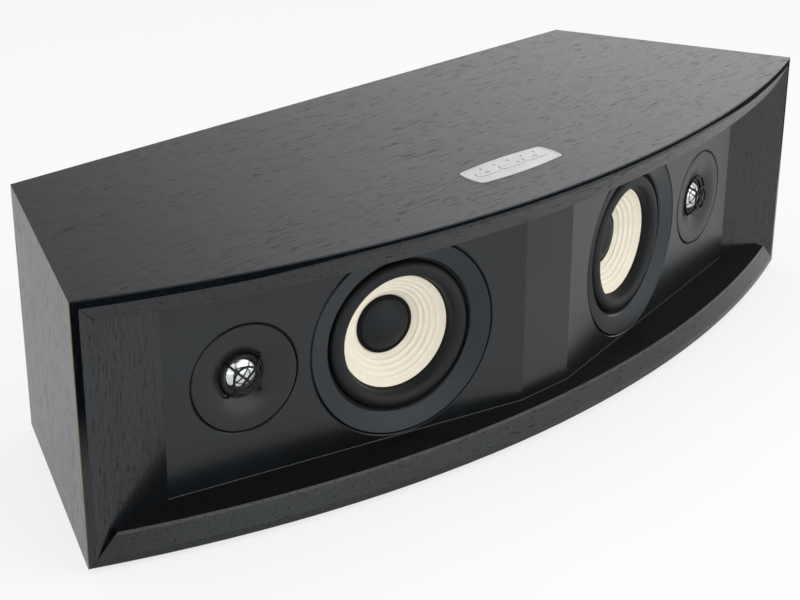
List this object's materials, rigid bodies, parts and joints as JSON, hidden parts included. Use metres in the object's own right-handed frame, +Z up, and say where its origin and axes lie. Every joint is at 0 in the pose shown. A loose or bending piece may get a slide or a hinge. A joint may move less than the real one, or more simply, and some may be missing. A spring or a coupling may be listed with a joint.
{
  "type": "wireless speaker",
  "caption": "Wide bow-fronted wireless stereo speaker: black veneered cabinet, angled baffle with cone woofers and dome tweeters, keys on top, sockets behind.",
  "frame": {"origin": "middle of the footprint, on the ground under the feet", "axes": "+Z up, +X along the cabinet to the listener's right, the front faces -Y"},
  "size_m": [0.5598, 0.2046, 0.1464],
  "materials": {
    "black_veneer": "open-pore veneer stained black under satin lacquer",
    "black_board": "matte black paint on board",
    "trim_black": "satin black moulding",
    "surround_rubber": "matte black rubber",
    "cone_paper": "ribbed cream pulp",
    "cap_felt": "soft matte black",
    "spider_cloth": "impregnated cloth",
    "coil_copper": "enamelled winding",
    "driver_steel": "black coated pressed steel",
    "motor_steel": "zinc plated",
    "ferrite": "sintered ferrite",
    "dome_metal": "bright anodised",
    "control_silver": "fine satin",
    "light_pipe": "smoked clear",
    "circuit_board": "solder mask",
    "rear_black": "fine texture powder coat",
    "screw_black": "black zinc",
    "socket_black": "moulded",
    "socket_metal": "nickel plated",
    "sink_metal": "extruded",
    "foot_rubber": "matte rubber"
  },
  "bodies": {
    "cabinet": {"top_panel": "black_veneer", "bottom_panel": "black_veneer", "left_side_panel": "black_veneer", "right_side_panel": "black_veneer", "left_cheek": "black_veneer", "right_cheek": "black_veneer", "front_baffle": "black_board", "back_panel": "black_board", "left_woofer_trim_ring": "trim_black", "right_woofer_trim_ring": "trim_black", "left_tweeter_faceplate": "trim_black", "right_tweeter_faceplate": "trim_black", "left_tweeter_guard": "trim_black", "right_tweeter_guard": "trim_black", "left_port_tube": "trim_black", "right_port_tube": "trim_black", "left_woofer_surround": "surround_rubber", "right_woofer_surround": "surround_rubber", "left_woofer_spider": "spider_cloth", "right_woofer_spider": "spider_cloth", "left_woofer_basket": "driver_steel", "right_woofer_basket": "driver_steel", "left_tweeter_motor": "driver_steel", "right_tweeter_motor": "driver_steel", "left_woofer_top_plate": "motor_steel", "right_woofer_top_plate": "motor_steel", "left_woofer_yoke": "motor_steel", "right_woofer_yoke": "motor_steel", "left_woofer_magnet": "ferrite", "right_woofer_magnet": "ferrite", "left_tweeter_dome": "dome_metal", "right_tweeter_dome": "dome_metal", "control_plate": "control_silver", "light_pipes": "light_pipe", "control_board": "circuit_board", "main_board": "circuit_board", "power_board": "circuit_board", "rear_plate": "rear_black", "rear_screws": "screw_black", "mains_inlet": "socket_black", "rocker_bezel": "socket_black", "network_socket": "socket_black", "jack_socket": "socket_black", "phono_sockets": "socket_metal", "heatsink": "sink_metal", "rubber_feet": "foot_rubber"},
    "left_cone": {"left_woofer_cone": "cone_paper", "left_woofer_dust_cap": "cap_felt", "left_woofer_voice_coil": "coil_copper"},
    "right_cone": {"right_woofer_cone": "cone_paper", "right_woofer_dust_cap": "cap_felt", "right_woofer_voice_coil": "coil_copper"},
    "power_key": {"power_key": "control_silver"},
    "volume_key": {"volume_key": "control_silver"},
    "source_key": {"source_key": "control_silver"},
    "pairing_button": {"pairing_button": "socket_black"},
    "power_rocker": {"power_rocker": "socket_black"}
  },
  "joints": [
    {"name": "left_cone_travel", "type": "slide", "parent": "cabinet", "child": "left_cone", "axis": [-0.2284, -0.9736, 0], "range_m": [-0.004, 0.004], "stiffness_N_per_m": 900, "deforming": ["left_woofer_surround", "left_woofer_spider"]},
    {"name": "right_cone_travel", "type": "slide", "parent": "cabinet", "child": "right_cone", "axis": [0.2284, -0.9736, 0], "range_m": [-0.004, 0.004], "stiffness_N_per_m": 900, "deforming": ["right_woofer_surround", "right_woofer_spider"]},
    {"name": "power_key_press", "type": "slide", "parent": "cabinet", "child": "power_key", "axis": [0, 0, -1], "range_m": [0, 0.0005], "stiffness_N_per_m": 1500},
    {"name": "source_key_press", "type": "slide", "parent": "cabinet", "child": "source_key", "axis": [0, 0, -1], "range_m": [0, 0.0005], "stiffness_N_per_m": 1500},
    {"name": "volume_key_rock", "type": "hinge", "parent": "cabinet", "child": "volume_key", "pos_m": [0, -0.05775, 0.1434], "axis": [0, 1, 0], "range_deg": [-2.5, 2.5], "stiffness_Nm_per_rad": 0.05},
    {"name": "pairing_button_press", "type": "slide", "parent": "cabinet", "child": "pairing_button", "axis": [0, -1, 0], "range_m": [0, 0.0008], "stiffness_N_per_m": 1200},
    {"name": "power_rocker_tilt", "type": "hinge", "parent": "cabinet", "child": "power_rocker", "pos_m": [-0.024, 0.08965, 0.07575], "axis": [1, 0, 0], "range_deg": [0, 16]}
  ]
}
